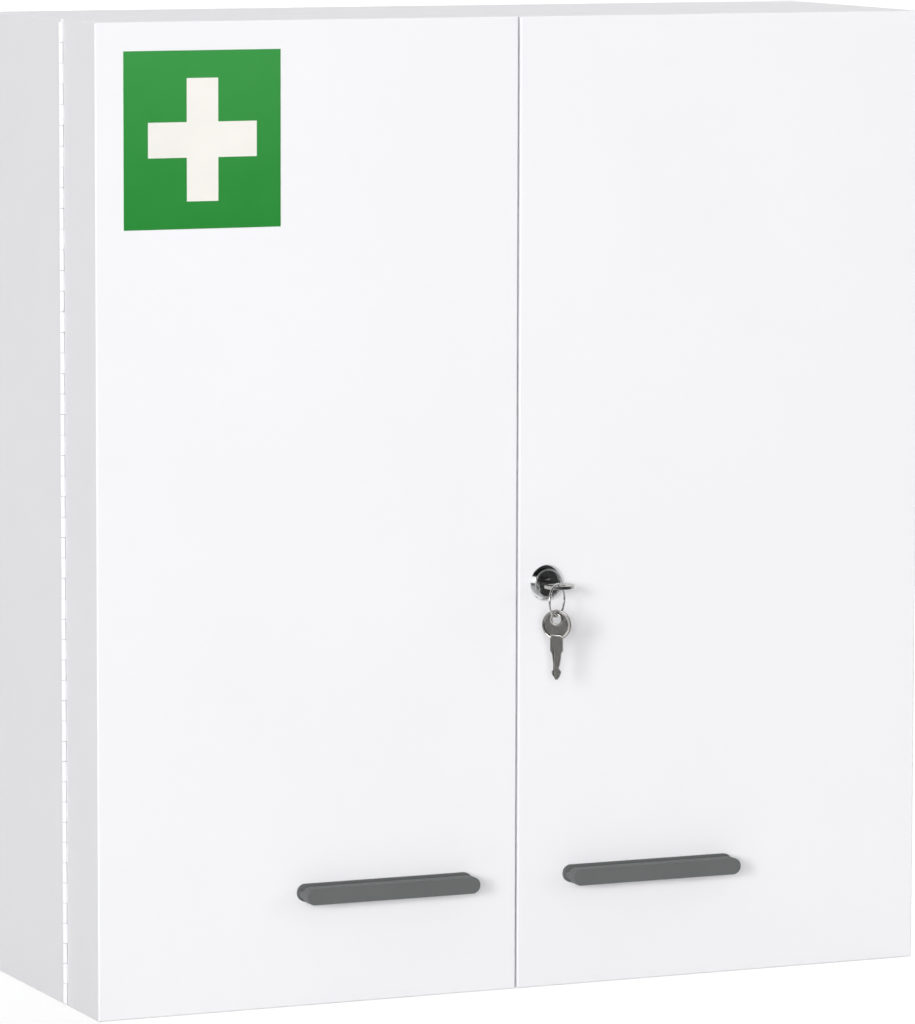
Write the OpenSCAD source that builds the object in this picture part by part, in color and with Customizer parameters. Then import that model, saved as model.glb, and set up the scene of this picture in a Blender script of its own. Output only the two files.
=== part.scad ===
// Lockable wall cabinet for medicines: a sheet-steel body with adjustable shelves, and two deep
// tray doors on continuous hinges, with door racks, pull handles, a slide bolt and a cam lock.
// Millimetres. +X to the right, +Y into the wall, +Z up. The origin is the middle of the back.

/* [Cabinet] */
// Width of the cabinet
cabinet_w = 550; // [440:5:800]
// Height of the cabinet
cabinet_h = 600; // [500:5:900]
// Depth from the wall to the front of the doors
cabinet_d = 180; // [145:1:260]
// Thickness of the steel sheet
sheet_t = 0.8; // [0.7:0.1:1.2]
// Outer radius of a folded edge
bend_r = 1; // [0.9:0.1:1.4]
// Width of the folded frame round the front of the body
body_flange_w = 15; // [13:0.5:20]
// Width of the folded edge round the back of the body
rear_flange_w = 12; // [10:0.5:20]

/* [Wall fixing] */
// Distance of a fixing hole from the side of the cabinet
wall_hole_side = 50; // [30:1:100]
// Distance of a fixing hole from the top or bottom of the cabinet
wall_hole_end = 50; // [30:1:100]
// Diameter of a fixing hole
wall_hole_d = 8; // [5:0.5:10]

/* [Doors] */
// Depth of a door tray
door_d = 54.9; // [50:0.1:70]
// Gap between the two doors
door_gap = 1.3; // [1:0.1:3]
// Width of the folded edge round the back of a door
door_flange_w = 14; // [12:0.5:20]

/* [Continuous hinges] */
// Number of knuckles on one hinge
knuckle_count = 48; // [20:2:60]
// Diameter of the hinge barrel
barrel_d = 3.1; // [2.9:0.1:3.3]
// Diameter of the hinge pin
pin_d = 1.6; // [1.4:0.1:1.7]
// Radial clearance between a pin and a knuckle
pin_play = 0.05; // [0.02:0.01:0.1]
// Thickness of a hinge leaf
leaf_t = 0.7; // [0.6:0.05:0.75]
// Gap between the two leaves of a closed hinge
leaf_gap = 1; // [0.9:0.05:1.2]
// Reach of a leaf from the pin towards the middle of the cabinet
leaf_w = 14; // [12:0.5:15]
// Distance of the pin outside the side of the cabinet
pin_out = 0.85; // [0.85:0.05:1.3]
// End gap between neighbouring knuckles
knuckle_gap = 0.3; // [0.2:0.05:0.6]
// Distance of the hinge from the top and bottom of the cabinet
hinge_end = 1.5; // [1:0.5:10]

/* [Shelves in the body] */
// Rail slots that carry the shelves, counted upwards from 0
shelf_slots = [5, 10, 15];
// Distance between two rail slots
slot_pitch = 25; // [20:1:30]
// Width of a shelf rail
rail_w = 18; // [16:0.5:24]
// Depth of a shelf rail
rail_d = 5; // [4:0.5:8]
// Distance of a rail's ends from the inside of the top and bottom
rail_end = 17; // [16:1:60]
// Distance of the rails' middles from the front and the back of the body
rail_inset = 22; // [20:1:40]
// Height of a shelf's folded edges
shelf_edge_h = 20; // [12:1:30]
// Gap between the shelves and the edge of the front opening
shelf_side_gap = 2; // [1:0.5:4]
// Distance of a shelf from the front of the body
shelf_front = 15; // [12:1:30]
// Distance of a shelf from the back panel
shelf_back = 4; // [2:1:20]
// Length of a shelf clip's tongue beyond its rail
clip_reach = 16; // [14:1:20]

/* [Racks in the doors] */
// Height of a rack's retaining lip
rack_lip_h = 34; // [25:1:45]
// Height of a rack's end tabs
rack_tab_h = 18; // [10:1:25]
// Gap between a rack and the folded edge of its door
rack_gap = 1.2; // [1:0.1:5]
// Height of the middle rack above the lock
rack_over_lock = 90; // [40:1:110]
// Clear height between the lock's sweep and the lower rack's lip
rack_under_sweep = 8; // [4:1:30]

/* [Handles] */
// Length of a handle
handle_l = 115.5; // [100:0.5:160]
// Height of a handle's foot on the door
handle_h = 10.9; // [10:0.1:16]
// Distance that a handle stands out from its door
handle_out = 16.5; // [14:0.5:25]
// Distance of a handle from the middle of the cabinet
handle_inset = 31; // [20:1:60]
// Height of the handles' middles above the bottom of the cabinet
handle_rise = 70; // [40:1:150]
// Distance between a handle's two screws
handle_pitch = 96; // [64:1:96]
// Diameter of a handle screw
handle_screw_d = 3.5; // [3:0.1:4]

/* [Lock] */
// Distance of the lock from the middle of the cabinet
lock_x = 19.5; // [18:0.5:26]
// Distance of the lock below the middle of the cabinet
lock_drop = 48; // [0:1:100]
// Diameter of the lock's bezel
bezel_d = 22.7; // [22:0.1:26]
// Height of the bezel above the door
bezel_out = 3; // [2.5:0.1:6]
// Diameter of the threaded lock housing
housing_d = 18.6; // [17.5:0.1:19]
// Length of the lock housing behind the door's front face
housing_l = 19.5; // [18:0.5:25]
// Diameter of the lock plug
plug_d = 12; // [11:0.1:13]
// Diameter of the plug's front face
plug_face_d = 15.8; // [14:0.1:16]
// Radial clearance between the plug and the housing
plug_play = 0.05; // [0.03:0.01:0.1]
// Width of the lock cam
cam_w = 14; // [12:0.5:16]
// Length of the lock cam from its pivot to its tip
cam_l = 34; // [31:0.5:36]
// Thickness of the lock cam
cam_t = 2.5; // [2:0.1:3]
// Clearance round the cam where it passes the doors' side walls
cam_slot_play = 1.8; // [1.5:0.1:3]

/* [Keys] */
// Diameter of a key's bow
bow_d = 18.6; // [18:0.1:22]
// Thickness of a key
key_t = 1.7; // [1.5:0.1:1.9]
// Diameter of the hole in a bow
bow_hole_d = 5.4; // [5.3:0.1:6]
// Distance of the hole from the middle of the bow
bow_hole_offset = 3.3; // [3:0.1:3.6]
// Width of a key's shoulder
shoulder_w = 8; // [7.5:0.1:9]
// Distance from the middle of the bow to the end of the shoulder
shoulder_end = 17.4; // [15:0.1:20]
// Length of a key's blade
blade_l = 16.4; // [14:0.1:17]
// Full width of a key's blade
blade_w = 6; // [5.6:0.1:6.4]
// Diameter of the key ring, at the middle of its wire
ring_d = 20; // [19:0.1:21]
// Diameter of the key ring's wire
ring_wire_d = 1.4; // [1.2:0.1:1.5]
// Turn of the key ring's plane about the vertical
ring_turn = 51; // [45:1:56]
// Turn of the spare key's face about the vertical
spare_turn = 41; // [35:1:50]

/* [Slide bolt] */
// Travel of the slide bolt
bolt_travel = 12; // [8:0.5:12]
// Width of the slide bolt's bar
bolt_w = 8; // [6:0.5:9]
// Thickness of the slide bolt's bar
bolt_t = 3; // [2.5:0.1:4]
// Length of the slide bolt's base
bolt_base_l = 44; // [40:1:48]

/* [Door catches] */
// Width of a magnetic catch
catch_w = 12; // [10:0.5:12]
// Depth of a magnetic catch behind the body's front
catch_d = 18; // [14:1:25]
// Gap between a catch's poles and the door
catch_air = 0.4; // [0.3:0.1:1]
// Diameter of a rubber buffer
buffer_d = 8; // [6:0.5:10]

/* [Hidden] */
$fn = 48;

paint = "whitesmoke";
zinc = "silver";
chrome = "gainsboro";
grip_tone = "dimgray";

LEFT = -1;
RIGHT = 1;
DOOR = -1;
BODY = 1;
// Overshoot of a cut beyond the face it opens
cut = 1;

half_w = cabinet_w / 2;
half_h = cabinet_h / 2;
least_bend_r = 0.3;
inner_bend_r = max(bend_r - sheet_t, least_bend_r);
seam_gap = 2 * leaf_t + leaf_gap;
front_y = -cabinet_d;
door_back_y = front_y + door_d;
body_front_y = door_back_y + seam_gap;
door_edge_x = door_gap / 2;
door_skin_y = front_y + sheet_t;

pin_x = half_w + pin_out;
pin_y = (door_back_y + body_front_y) / 2;
barrel_r = barrel_d / 2;
knuckle_play = 0.3;
hinge_l = cabinet_h - 2 * hinge_end;
knuckle_pitch = hinge_l / knuckle_count;

rail_half_l = half_h - sheet_t - rail_end;
rail_face_x = half_w - sheet_t - rail_d;
rail_front_y = body_front_y + rail_inset;
rail_rear_y = -sheet_t - rail_inset;
slot_w = 10;
slot_h = 2.6;
first_slot = 12;
slot_count = floor((2 * rail_half_l - 2 * first_slot) / slot_pitch) + 1;
clip_t = 2;
clip_play = 0.2;
shelf_half_w = half_w - body_flange_w - shelf_side_gap;
shelf_front_y = body_front_y + shelf_front;
shelf_back_y = -sheet_t - shelf_back;
shelf_return = 9;

lock_z = -lock_drop;
handle_z = -half_h + handle_rise;
housing_back_y = front_y + housing_l;
plug_recess = 1.8;
plug_face_y = front_y - bezel_out + plug_recess;
// The plug's head ends level with the door, where the housing's flats begin
plug_face_l = bezel_out - plug_recess;
cam_gap = 0.2;
cam_front_y = housing_back_y + cam_gap;
cam_back_y = cam_front_y + cam_t;
tail_w = 7;
washer_t = 1;
cam_tip_r = cam_w / 2;

// Lowest point that the cam's round tip reaches below the lock as it passes a door's side wall:
// the greatest depth over the turns at which some of the tip lies beyond that wall
wall_reach = lock_x - door_edge_x - sheet_t;
cam_sweep = max([for (turn = [0 : 1 : 80])
    let (tip = (cam_l - cam_tip_r) * cos(turn), short = max(0, wall_reach - tip))
    short < cam_tip_r
        ? (cam_l - cam_tip_r) * sin(turn) + sqrt(cam_tip_r * cam_tip_r - short * short) : 0]);

rack_bottom_z = [
    lock_z - cam_l - rack_under_sweep - rack_lip_h,
    lock_z + rack_over_lock,
    (lock_z + rack_over_lock + half_h) / 2
];

bow_r = bow_d / 2;
key_gap = 0.2;
bow_y = plug_face_y - key_gap - shoulder_end;
keyway_play = 0.1;
ring_r = ring_d / 2;
ring_wire_r = ring_wire_d / 2;
ring_play = 0.25;
// Plan direction in which the ring leaves the bow's hole, over the rim
ring_dir = [-sin(ring_turn), -cos(ring_turn)];
// The ring's height over the bow, from its outer corner at the hole's rim, and its place
// beyond the hole, from the wire's slant through the bow
ring_over = 2.5;
ring_beyond = 6.3;
ring_mid = [lock_x + ring_dir.x * ring_beyond,
    bow_y - bow_hole_offset + ring_dir.y * ring_beyond,
    lock_z + ring_over - ring_r];
spare_hole_z = ring_mid.z - ring_r - (bow_hole_d / 2 - ring_wire_r - ring_play);

bolt_x = -(door_edge_x + door_flange_w / 2);
bolt_stand = 0.6;
bolt_front_y = body_front_y + sheet_t + bolt_stand;
bolt_clear = 5;
bolt_top_z = half_h - body_flange_w - bolt_clear;
bolt_lead = 3;
bolt_base_top_z = bolt_top_z - bolt_lead;
bolt_play = 0.15;
bolt_ear = 5;
bolt_guide_h = 8;
bolt_guide_z = [bolt_base_top_z - 2 * bolt_ear - bolt_guide_h, bolt_base_top_z - bolt_base_l + 2 * bolt_ear];
knob_d = 7;
knob_l = 9;
knob_play = 4;
bolt_below_knob = 2;
knob_z = bolt_guide_z[1] - bolt_travel - knob_play - knob_d / 2;
bolt_bottom_z = knob_z - knob_d / 2 - bolt_below_knob;

// ---- Plain shapes ----

module block(low, high) {
    translate(low)
        cube(high - low);
}

// Rectangle with round corners, centred
module rounded_rect(w, h, r) {
    square([w - 2 * r, h], center = true);
    square([w, h - 2 * r], center = true);
    for (sx = [-1, 1], sy = [-1, 1])
        translate([sx * (w / 2 - r), sy * (h / 2 - r)])
            circle(r);
}

// Prism along Y with rounded long edges, between two corners
module rounded_prism(low, high, r) {
    size = high - low;
    translate((low + high) / 2)
        rotate([90, 0, 0])
            linear_extrude(size.y, center = true)
                rounded_rect(size.x, size.z, r);
}

// Box with every edge rounded, between two corners
module rounded_box(low, high, r) {
    size = high - low;
    intersection() {
        rounded_prism(low, high, r);
        translate((low + high) / 2)
            linear_extrude(size.z, center = true)
                rounded_rect(size.x, size.y, r);
        translate((low + high) / 2)
            rotate([90, 0, 90])
                linear_extrude(size.x, center = true)
                    rounded_rect(size.y, size.z, r);
    }
}

// Folded sheet tray: a rounded box, hollow, still closed on every side
module folded_shell(low, high) {
    skin = [sheet_t, sheet_t, sheet_t];
    difference() {
        rounded_box(low, high, bend_r);
        rounded_box(low + skin, high - skin, inner_bend_r);
    }
}

// Shaft along +Y from one y to another
module shaft(r, from_y, to_y) {
    translate([0, from_y, 0])
        rotate([-90, 0, 0])
            cylinder(h = to_y - from_y, r = r);
}

// Places a child that is drawn for the right side on either side
module on_side(side) {
    mirror([side < 0 ? 1 : 0, 0, 0])
        children();
}

// ---- Body ----

module body_wrap() {
    color(paint)
        difference() {
            folded_shell([-half_w, body_front_y, -half_h], [half_w, -sheet_t, half_h]);
            rounded_prism(
                [body_flange_w - half_w, body_front_y - cut, body_flange_w - half_h],
                [half_w - body_flange_w, body_front_y + sheet_t + cut, half_h - body_flange_w],
                bend_r);
            rounded_prism(
                [rear_flange_w - half_w, -2 * sheet_t - cut, rear_flange_w - half_h],
                [half_w - rear_flange_w, -sheet_t + cut, half_h - rear_flange_w],
                bend_r);
        }
}

module back_panel() {
    edge = sheet_t;
    hole_x = half_w - wall_hole_side;
    hole_z = half_h - wall_hole_end;
    color(paint)
        difference() {
            rounded_prism([edge - half_w, -sheet_t, edge - half_h],
                [half_w - edge, 0, half_h - edge], bend_r);
            for (sx = [-1, 1], sz = [-1, 1])
                translate([sx * hole_x, 0, sz * hole_z])
                    shaft(wall_hole_d / 2, -sheet_t - cut, cut);
        }
}

// ---- Shelf rails, shelves and clips ----

function slot_z(n) = first_slot - rail_half_l + n * slot_pitch;

// Channel against the right side wall, open towards the wall, with a ladder of slots
module shelf_rail(side, middle_y) {
    wall_x = half_w - sheet_t;
    color(zinc)
        on_side(side)
            difference() {
                block([rail_face_x, middle_y - rail_w / 2, -rail_half_l],
                    [wall_x, middle_y + rail_w / 2, rail_half_l]);
                block([rail_face_x + sheet_t, middle_y - rail_w / 2 + sheet_t, -rail_half_l - cut],
                    [wall_x + cut, middle_y + rail_w / 2 - sheet_t, rail_half_l + cut]);
                for (n = [0 : slot_count - 1])
                    block([rail_face_x - cut, middle_y - slot_w / 2, slot_z(n) - slot_h / 2],
                        [rail_face_x + sheet_t + cut, middle_y + slot_w / 2, slot_z(n) + slot_h / 2]);
            }
}

module left_front_rail() { shelf_rail(LEFT, rail_front_y); }
module left_rear_rail() { shelf_rail(LEFT, rail_rear_y); }
module right_front_rail() { shelf_rail(RIGHT, rail_front_y); }
module right_rear_rail() { shelf_rail(RIGHT, rail_rear_y); }

function shelf_underside(n) = slot_z(n) + clip_t / 2;

// Shelf: one sheet whose front and back edges are folded down and turned in
module shelf(n) {
    depth = shelf_back_y - shelf_front_y;
    color(paint)
        translate([0, (shelf_front_y + shelf_back_y) / 2,
                shelf_underside(n) + sheet_t - shelf_edge_h / 2])
            rotate([90, 0, 90])
                linear_extrude(2 * shelf_half_w, center = true)
                    difference() {
                        rounded_rect(depth, shelf_edge_h, bend_r);
                        rounded_rect(depth - 2 * sheet_t, shelf_edge_h - 2 * sheet_t, inner_bend_r);
                        translate([0, -shelf_edge_h / 2])
                            square([depth - 2 * shelf_return, 2 * sheet_t + 2 * cut], center = true);
                    }
}

module lower_shelf() { shelf(shelf_slots[0]); }
module middle_shelf() { shelf(shelf_slots[1]); }
module upper_shelf() { shelf(shelf_slots[2]); }

// Clip: a tongue through a rail slot, hooked up inside the rail and stepped down on its face
module shelf_clip(middle_y, z) {
    hook_h = 4;
    leg_h = 9;
    half = slot_w / 2 - clip_play;
    hook_x = rail_face_x + sheet_t + clip_play;
    block([rail_face_x - clip_reach, middle_y - half, z - clip_t / 2],
        [hook_x + clip_t, middle_y + half, z + clip_t / 2]);
    block([hook_x, middle_y - half, z - clip_t / 2],
        [hook_x + clip_t, middle_y + half, z + hook_h]);
    block([rail_face_x - clip_t, middle_y - half, z - leg_h],
        [rail_face_x, middle_y + half, z + clip_t / 2]);
}

module shelf_clips(n) {
    color(zinc)
        for (side = [LEFT, RIGHT], middle_y = [rail_front_y, rail_rear_y])
            on_side(side)
                shelf_clip(middle_y, slot_z(n));
}

module lower_shelf_clips() { shelf_clips(shelf_slots[0]); }
module middle_shelf_clips() { shelf_clips(shelf_slots[1]); }
module upper_shelf_clips() { shelf_clips(shelf_slots[2]); }

// ---- Continuous hinges ----

// Section of a leaf, with the pin at the origin and the cabinet's middle towards -X
module leaf_strip(face) {
    inner = barrel_r + knuckle_play;
    translate([-leaf_w, face > 0 ? leaf_gap / 2 : -leaf_gap / 2 - leaf_t])
        square([leaf_w - inner, leaf_t]);
}

module leaf_knuckle(face) {
    circle(barrel_r);
    translate([-leaf_w, face > 0 ? leaf_gap / 2 : -leaf_gap / 2 - leaf_t])
        square([leaf_w, leaf_t]);
}

// Every second knuckle belongs to the body's leaf and the rest to the door's
module hinge_leaf(side, face) {
    first = face == BODY ? 0 : 1;
    color(chrome)
        on_side(side)
            translate([pin_x, pin_y, -hinge_l / 2])
                difference() {
                    union() {
                        linear_extrude(hinge_l)
                            leaf_strip(face);
                        for (i = [first : 2 : knuckle_count - 1])
                            translate([0, 0, i * knuckle_pitch + knuckle_gap / 2])
                                linear_extrude(knuckle_pitch - knuckle_gap)
                                    leaf_knuckle(face);
                    }
                    translate([0, 0, -cut])
                        cylinder(h = hinge_l + 2 * cut, r = pin_d / 2 + pin_play);
                }
}

module hinge_pin(side) {
    color(zinc)
        on_side(side)
            translate([pin_x, pin_y, -hinge_l / 2])
                cylinder(h = hinge_l, r = pin_d / 2);
}

module left_hinge_body_leaf() { hinge_leaf(LEFT, BODY); }
module right_hinge_body_leaf() { hinge_leaf(RIGHT, BODY); }
module left_hinge_door_leaf() { hinge_leaf(LEFT, DOOR); }
module right_hinge_door_leaf() { hinge_leaf(RIGHT, DOOR); }
module left_hinge_pin() { hinge_pin(LEFT); }
module right_hinge_pin() { hinge_pin(RIGHT); }

// ---- Magnetic catches and buffers ----

catch_x = door_edge_x + door_flange_w / 2;
catch_nose_y = door_back_y + catch_air;
catch_floor_z = -half_h + sheet_t;
catch_over_flange = 0.4;
catch_nose_z = -half_h + body_flange_w + catch_over_flange;
catch_nose_h = 13;
magnet_z = catch_nose_z + catch_nose_h / 2;
magnet_w = 8;
magnet_h = 8;
magnet_l = 12;
pole_proud = 0.4;

// Case: stands behind the body's bottom flange and reaches forward over its edge
module catch_case(side) {
    color("white")
        on_side(side)
            difference() {
                union() {
                    block([catch_x - catch_w / 2, body_front_y + sheet_t + inner_bend_r, catch_floor_z],
                        [catch_x + catch_w / 2, body_front_y + catch_d, catch_nose_z]);
                    block([catch_x - catch_w / 2, catch_nose_y + pole_proud, catch_nose_z],
                        [catch_x + catch_w / 2, body_front_y + catch_d, catch_nose_z + catch_nose_h]);
                }
                magnet_block();
            }
}

module magnet_block() {
    block([catch_x - magnet_w / 2, catch_nose_y, magnet_z - magnet_h / 2],
        [catch_x + magnet_w / 2, catch_nose_y + magnet_l, magnet_z + magnet_h / 2]);
}

// Magnet between two steel pole plates that stand proud of it
module catch_magnet(side) {
    plate_t = 1.6;
    color(zinc)
        on_side(side)
            difference() {
                magnet_block();
                block([catch_x - magnet_w / 2 + plate_t, catch_nose_y - cut, magnet_z - magnet_h],
                    [catch_x + magnet_w / 2 - plate_t, catch_nose_y + 2 * pole_proud, magnet_z + magnet_h]);
            }
}

module left_catch_case() { catch_case(LEFT); }
module right_catch_case() { catch_case(RIGHT); }
module left_catch_magnet() { catch_magnet(LEFT); }
module right_catch_magnet() { catch_magnet(RIGHT); }

// Rubber buffers on the body's front frame, two to a door
module door_buffers() {
    buffer_x = 2 * door_flange_w + buffer_d;
    buffer_air = 0.3;
    color("gray")
        for (side = [LEFT, RIGHT], end = [-1, 1])
            translate([side * buffer_x, 0, end * (half_h - body_flange_w / 2)])
                shaft(buffer_d / 2, door_back_y + buffer_air, body_front_y);
}

// ---- Doors ----

module handle_screw_places(side) {
    for (end = [-1, 1])
        translate([side * (handle_inset + handle_l / 2) + end * handle_pitch / 2, 0, handle_z])
            children();
}

// The slot in a door's side wall that the lock's cam swings through
module cam_slot() {
    block([door_edge_x - cut, cam_front_y - cam_slot_play, lock_z - cam_sweep - cam_slot_play],
        [door_edge_x + sheet_t + cut, cam_back_y + cam_slot_play, lock_z + cam_tip_r + cam_slot_play]);
}

housing_flat_w = 16;
housing_hole_play = 0.2;

// The lock housing's outline: a round barrel with two flats
module housing_section(play) {
    intersection() {
        circle(housing_d / 2 + play);
        square([housing_flat_w + 2 * play, housing_d + 2 * play], center = true);
    }
}

module door_shell(side) {
    color(paint)
        difference() {
            on_side(side)
                difference() {
                    folded_shell([door_edge_x, front_y, -half_h], [half_w, door_back_y, half_h]);
                    rounded_prism(
                        [door_edge_x + door_flange_w, door_back_y - sheet_t - cut, door_flange_w - half_h],
                        [half_w - door_flange_w, door_back_y + cut, half_h - door_flange_w],
                        bend_r);
                    cam_slot();
                }
            handle_screw_places(side)
                shaft(handle_screw_d / 2 + housing_hole_play, front_y - cut, door_skin_y + cut);
            if (side == RIGHT)
                translate([lock_x, front_y, lock_z])
                    rotate([90, 0, 0])
                        linear_extrude(2 * sheet_t + 2 * cut, center = true)
                            housing_section(housing_hole_play);
            if (side == LEFT)
                bolt_rivet_places()
                    shaft(bolt_rivet_r, door_back_y - sheet_t - cut, door_back_y + cut);
        }
}

module left_door_shell() { door_shell(LEFT); }
module right_door_shell() { door_shell(RIGHT); }

// Rack: a folded pan with a high retaining lip towards the cabinet and low tabs at its other sides
module door_rack(side, bottom_z) {
    low = [door_edge_x + sheet_t, door_skin_y, bottom_z];
    high = [half_w - sheet_t, door_back_y - sheet_t - rack_gap, bottom_z + rack_lip_h];
    hem_h = 6;
    cut_z = high.z + 2 * bend_r;
    color(paint)
        on_side(side) {
            difference() {
                rounded_box(low, [high.x, high.y, cut_z], bend_r);
                rounded_box(low + [sheet_t, sheet_t, sheet_t],
                    [high.x - sheet_t, high.y - sheet_t, cut_z + 2 * bend_r], inner_bend_r);
                block([low.x - cut, low.y - cut, bottom_z + rack_tab_h],
                    [high.x + cut, high.y - sheet_t, cut_z + cut]);
                block([low.x - cut, low.y - cut, high.z], [high.x + cut, high.y + cut, cut_z + cut]);
            }
            block([low.x + 2 * bend_r, high.y - 2 * sheet_t, high.z - hem_h],
                [high.x - 2 * bend_r, high.y - sheet_t, high.z]);
        }
}

module left_door_lower_rack() { door_rack(LEFT, rack_bottom_z[0]); }
module left_door_middle_rack() { door_rack(LEFT, rack_bottom_z[1]); }
module left_door_upper_rack() { door_rack(LEFT, rack_bottom_z[2]); }
module right_door_lower_rack() { door_rack(RIGHT, rack_bottom_z[0]); }
module right_door_middle_rack() { door_rack(RIGHT, rack_bottom_z[1]); }
module right_door_upper_rack() { door_rack(RIGHT, rack_bottom_z[2]); }

// ---- Handles ----

// A handle's grip is a little smaller than its foot and sits a little lower
handle_foot_t = 2.2;
grip_t = 8.9;
grip_h = handle_h - 0.7;
grip_l = handle_l - 1;
grip_drop = 0.3;
grip_edge_r = 0.6;
finger_groove = 3.2;
end_part = 0.49;
handle_screw_l = 10;

// Half of a grip's section: x up from its middle, y out from the door
module grip_half_section() {
    half = grip_h / 2;
    square([half - grip_edge_r, handle_out]);
    square([half, handle_out - grip_edge_r]);
    translate([half - grip_edge_r, handle_out - grip_edge_r])
        circle(grip_edge_r);
}

// Grip: a bar with half-round ends and a rounded front edge, standing out towards -Y
module grip() {
    straight_l = grip_l - grip_h;
    for (half = [-1, 1])
        rotate([180, -90 * half, 0])
            linear_extrude(straight_l, center = true)
                grip_half_section();
    for (end = [-1, 1])
        translate([end * straight_l / 2, 0, 0])
            rotate([90, 0, 0])
                rotate([0, 0, -90 * end])
                    rotate_extrude(angle = 180)
                        grip_half_section();
}

// Finger grooves above and below, between a handle's foot and its grip
module finger_grooves() {
    groove_w = handle_out - handle_foot_t - grip_t;
    for (edge = [-1, 1])
        translate([0, -handle_foot_t - groove_w / 2, edge * grip_h / 2])
            rotate([90, 0, 90])
                linear_extrude(handle_l, center = true)
                    rounded_rect(groove_w, 2 * finger_groove, groove_w / 4);
}

module handle(side) {
    middle_x = side * (handle_inset + handle_l / 2);
    color(grip_tone)
        difference() {
            translate([middle_x, front_y, handle_z]) {
                rotate([90, 0, 0])
                    linear_extrude(handle_foot_t)
                        rounded_rect(handle_l, handle_h, end_part * handle_h);
                translate([0, 0, -grip_drop])
                    difference() {
                        grip();
                        finger_grooves();
                    }
            }
            handle_screw_places(side)
                shaft(handle_screw_d / 2, front_y - handle_screw_l, front_y + cut);
        }
}

module left_handle() { handle(LEFT); }
module right_handle() { handle(RIGHT); }

// Pan-head screws from inside the door
module handle_screws(side) {
    head_r = 3.6;
    head_h = 2.2;
    color(zinc)
        handle_screw_places(side) {
            shaft(handle_screw_d / 2, front_y - handle_screw_l, door_skin_y);
            shaft(head_r, door_skin_y, door_skin_y + head_h);
        }
}

module left_handle_screws() { handle_screws(LEFT); }
module right_handle_screws() { handle_screws(RIGHT); }

// ---- Slide bolt of the left door ----

bolt_rivet_r = 1.6;
bolt_block_w = 13;
bolt_guide_t = 1.2;

module bolt_rivet_places() {
    for (z = [bolt_base_top_z - bolt_ear, bolt_base_top_z - bolt_base_l + bolt_ear])
        translate([bolt_x, 0, z])
            children();
}

// Base: a pressed block riveted to the door's folded edge, which lifts the bar behind the frame
module bolt_base() {
    color(zinc)
        difference() {
            block([bolt_x - bolt_block_w / 2, door_back_y, bolt_base_top_z - bolt_base_l],
                [bolt_x + bolt_block_w / 2, bolt_front_y - bolt_play, bolt_base_top_z]);
            bolt_rivet_places()
                shaft(bolt_rivet_r, door_back_y - cut, bolt_front_y + cut);
        }
}

// Guides: two staples that hold the bar on the base
module bolt_guide() {
    half = bolt_w / 2 + bolt_play;
    back_y = bolt_front_y + bolt_t + bolt_play;
    color(zinc)
        for (z = bolt_guide_z)
            difference() {
                block([bolt_x - half - bolt_guide_t, bolt_front_y - bolt_play, z],
                    [bolt_x + half + bolt_guide_t, back_y + bolt_guide_t, z + bolt_guide_h]);
                block([bolt_x - half, bolt_front_y - bolt_play - cut, z - cut],
                    [bolt_x + half, back_y, z + bolt_guide_h + cut]);
            }
}

// Rivets: heads on both sides of the base and the folded edge
module bolt_rivets() {
    head_r = 2.6;
    head_h = 0.9;
    color(zinc)
        bolt_rivet_places() {
            shaft(bolt_rivet_r, door_back_y - sheet_t, bolt_front_y - bolt_play);
            shaft(head_r, door_back_y - sheet_t - head_h, door_back_y - sheet_t);
        }
}

// Bar with its thumb knob, drawn down
module slide_bolt() {
    color(chrome) {
        difference() {
            block([bolt_x - bolt_w / 2, bolt_front_y, bolt_bottom_z],
                [bolt_x + bolt_w / 2, bolt_front_y + bolt_t, bolt_top_z]);
            translate([bolt_x, bolt_front_y, bolt_top_z])
                rotate([-45, 0, 0])
                    cube([2 * bolt_w, bolt_t, bolt_t], center = true);
        }
        translate([bolt_x, 0, knob_z])
            shaft(knob_d / 2, bolt_front_y + bolt_t, bolt_front_y + bolt_t + knob_l);
    }
}

// ---- Cam lock ----

module at_lock() {
    translate([lock_x, 0, lock_z])
        children();
}

// Housing: a conical bezel in front of the door and a threaded barrel with two flats behind it
module lock_housing() {
    lip_w = 0.8;
    foot_t = 0.8;
    face_r = plug_face_d / 2 + lip_w;
    bore = plug_d / 2 + plug_play;
    color(chrome)
        at_lock()
            difference() {
                union() {
                    shaft(bezel_d / 2, front_y - foot_t, front_y);
                    translate([0, front_y - foot_t, 0])
                        rotate([90, 0, 0])
                            cylinder(h = bezel_out - foot_t, r1 = bezel_d / 2, r2 = face_r);
                    translate([0, housing_back_y, 0])
                        rotate([90, 0, 0])
                            linear_extrude(housing_l + foot_t)
                                housing_section(0);
                }
                shaft(bore, front_y - bezel_out - cut, housing_back_y + cut);
                shaft(plug_face_d / 2 + plug_play, front_y - bezel_out - cut,
                      plug_face_y + plug_face_l + plug_play);
            }
}

// Hexagon nut behind the door's skin
module lock_nut() {
    across_flats = 24;
    nut_t = 4;
    thread_play = 0.05;
    color(zinc)
        at_lock()
            difference() {
                translate([0, door_skin_y, 0])
                    rotate([-90, 0, 0])
                        cylinder(h = nut_t, r = across_flats / sqrt(3), $fn = 6);
                shaft(housing_d / 2 + thread_play, door_skin_y - cut, door_skin_y + nut_t + cut);
            }
}

ward_w = 0.8;
ward_h = 0.35;
ward_x = 1.4;
cam_bolt_r = 2.5;
keyway_end_play = 0.6;
keyway_l = blade_l + keyway_end_play;
// Solid metal of the plug between the keyway's end and the bolt's end
keyway_floor = 1.2;
cam_bolt_l = cam_back_y - plug_face_y - keyway_l - keyway_floor;

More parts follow.
